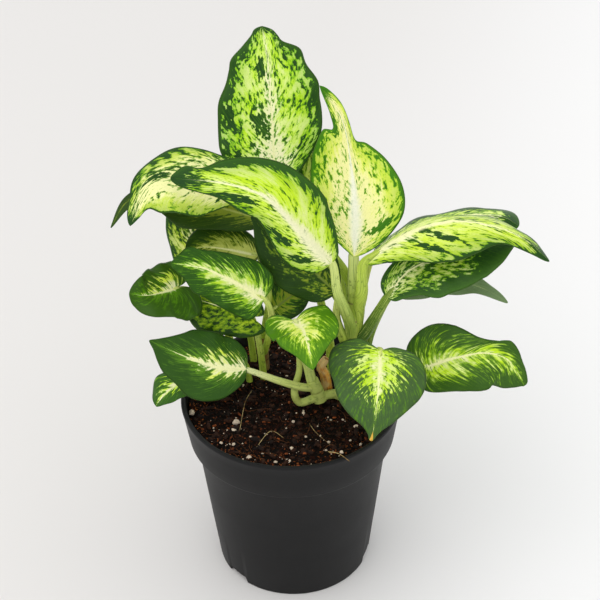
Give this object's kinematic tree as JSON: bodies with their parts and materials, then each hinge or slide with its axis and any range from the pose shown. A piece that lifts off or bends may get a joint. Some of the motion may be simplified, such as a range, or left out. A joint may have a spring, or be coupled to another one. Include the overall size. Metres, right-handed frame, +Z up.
{
  "type": "potted dieffenbachia",
  "caption": "Young dieffenbachia with broad mottled green leaves on slim stalks, rooted in soil in a round tapered nursery pot.",
  "frame": {"origin": "centre of the pot's flat underside, on the surface that it stands on", "axes": "+Z up, -Y towards the side that the picture shows, +X to its right"},
  "size_m": [0.24, 0.1546, 0.311],
  "materials": {
    "pot": "matte black moulded plastic, faintly dusty",
    "soil": "damp dark peat with coir fibre and pale perlite grains",
    "cane": "pale green, flecked, slightly waxy",
    "dried_sheath": "papery, dried to orange brown",
    "leaf": "satin waxy leaf, dark green with lime and cream mottling"
  },
  "bodies": {
    "root": {"pot": "pot", "soil": "soil", "stem_main": "cane", "stem_side": "cane", "stem_front": "cane", "dried_sheath": "dried_sheath", "leaf_a": "leaf", "leaf_b": "leaf", "leaf_c": "leaf", "leaf_d": "leaf", "leaf_e": "leaf", "leaf_f": "leaf", "leaf_g": "leaf", "leaf_h": "leaf", "leaf_i": "leaf", "leaf_j": "leaf", "leaf_k": "leaf", "leaf_l": "leaf", "leaf_m": "leaf", "leaf_n": "leaf", "leaf_o": "leaf", "leaf_p": "leaf", "leaf_q": "leaf", "leaf_r": "leaf", "leaf_s": "leaf", "leaf_t": "leaf", "leaf_u": "leaf", "leaf_v": "leaf"}
  },
  "joints": []
}
